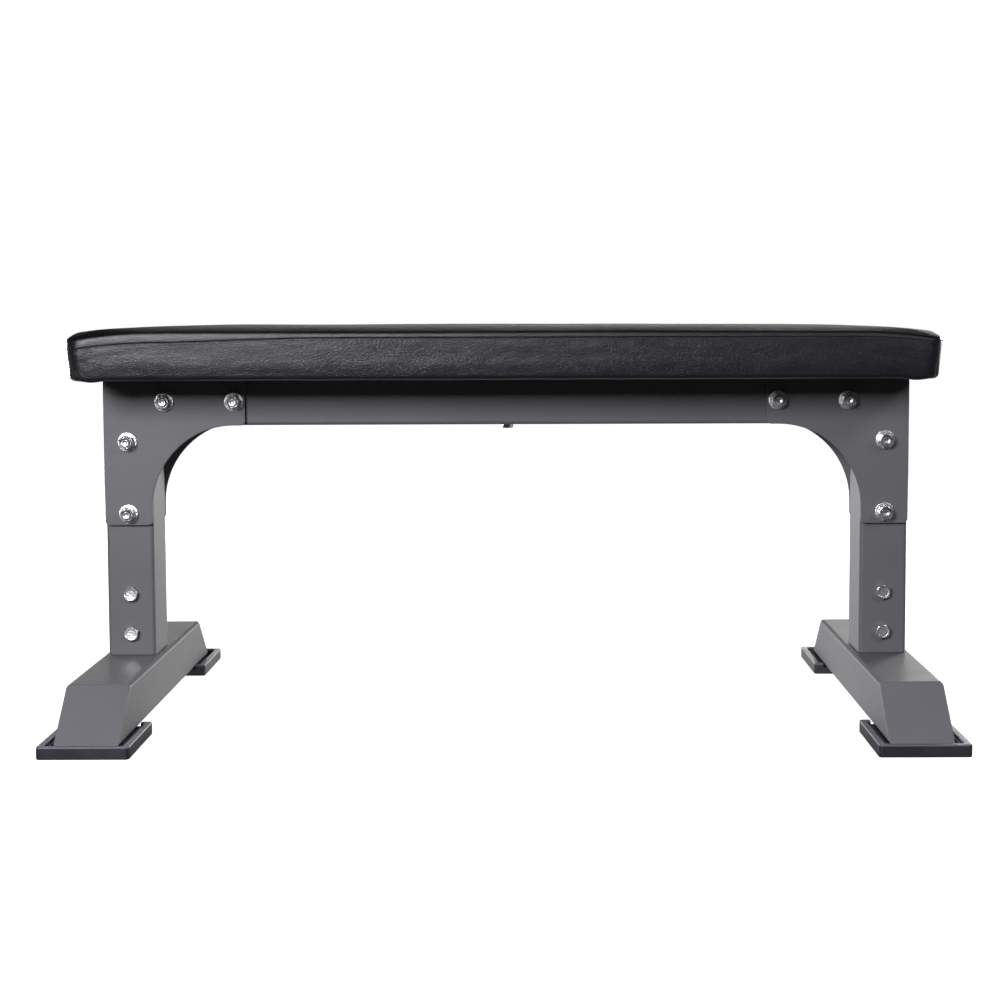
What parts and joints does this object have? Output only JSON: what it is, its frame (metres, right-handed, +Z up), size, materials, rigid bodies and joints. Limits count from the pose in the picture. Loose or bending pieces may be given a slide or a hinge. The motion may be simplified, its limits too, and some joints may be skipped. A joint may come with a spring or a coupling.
{
  "type": "weight bench",
  "caption": "Flat bench for weight training: a long padded board on a bolted steel frame with gusset plates, sloping feet and rubber floor shoes.",
  "frame": {"origin": "on the floor, under the middle of the bench", "axes": "+X along the bench to its right end seen from the front, +Y to the rear, +Z up"},
  "size_m": [0.8996, 0.6046, 0.4139],
  "materials": {
    "frame_coat": "satin grey powder coat",
    "shoe_rubber": "matt black",
    "cap_plastic": "moulded black",
    "pad_vinyl": "grained black vinyl",
    "pad_foam": "open foam",
    "pad_board": "plywood",
    "zinc_steel": "zinc plated",
    "bright_locknut": "bright zinc plated"
  },
  "bodies": {
    "root": {"left_beam_bolt_1": "zinc_steel", "left_beam_bolt_2": "zinc_steel", "left_beam_cap": "cap_plastic", "left_beam_nut_1": "bright_locknut", "left_beam_nut_2": "bright_locknut", "left_foot": "frame_coat", "left_foot_bolt_1": "zinc_steel", "left_foot_bolt_2": "zinc_steel", "left_foot_nut_1": "bright_locknut", "left_foot_nut_2": "bright_locknut", "left_foot_stub": "frame_coat", "left_front_end_plate": "frame_coat", "left_front_gusset": "frame_coat", "left_front_shoe": "shoe_rubber", "left_front_shoe_screw": "zinc_steel", "left_pad_bolt": "zinc_steel", "left_rear_end_plate": "frame_coat", "left_rear_gusset": "frame_coat", "left_rear_shoe": "shoe_rubber", "left_rear_shoe_screw": "zinc_steel", "left_tee_nut": "zinc_steel", "left_upright": "frame_coat", "left_upright_bolt_1": "zinc_steel", "left_upright_bolt_2": "zinc_steel", "left_upright_nut_1": "bright_locknut", "left_upright_nut_2": "bright_locknut", "main_beam": "frame_coat", "middle_pad_bolt": "zinc_steel", "middle_tee_nut": "zinc_steel", "pad_board": "pad_board", "pad_cover": "pad_vinyl", "pad_foam": "pad_foam", "right_beam_bolt_1": "zinc_steel", "right_beam_bolt_2": "zinc_steel", "right_beam_cap": "cap_plastic", "right_beam_nut_1": "bright_locknut", "right_beam_nut_2": "bright_locknut", "right_foot": "frame_coat", "right_foot_bolt_1": "zinc_steel", "right_foot_bolt_2": "zinc_steel", "right_foot_nut_1": "bright_locknut", "right_foot_nut_2": "bright_locknut", "right_foot_stub": "frame_coat", "right_front_end_plate": "frame_coat", "right_front_gusset": "frame_coat", "right_front_shoe": "shoe_rubber", "right_front_shoe_screw": "zinc_steel", "right_pad_bolt": "zinc_steel", "right_rear_end_plate": "frame_coat", "right_rear_gusset": "frame_coat", "right_rear_shoe": "shoe_rubber", "right_rear_shoe_screw": "zinc_steel", "right_tee_nut": "zinc_steel", "right_upright": "frame_coat", "right_upright_bolt_1": "zinc_steel", "right_upright_bolt_2": "zinc_steel", "right_upright_nut_1": "bright_locknut", "right_upright_nut_2": "bright_locknut"}
  },
  "joints": []
}
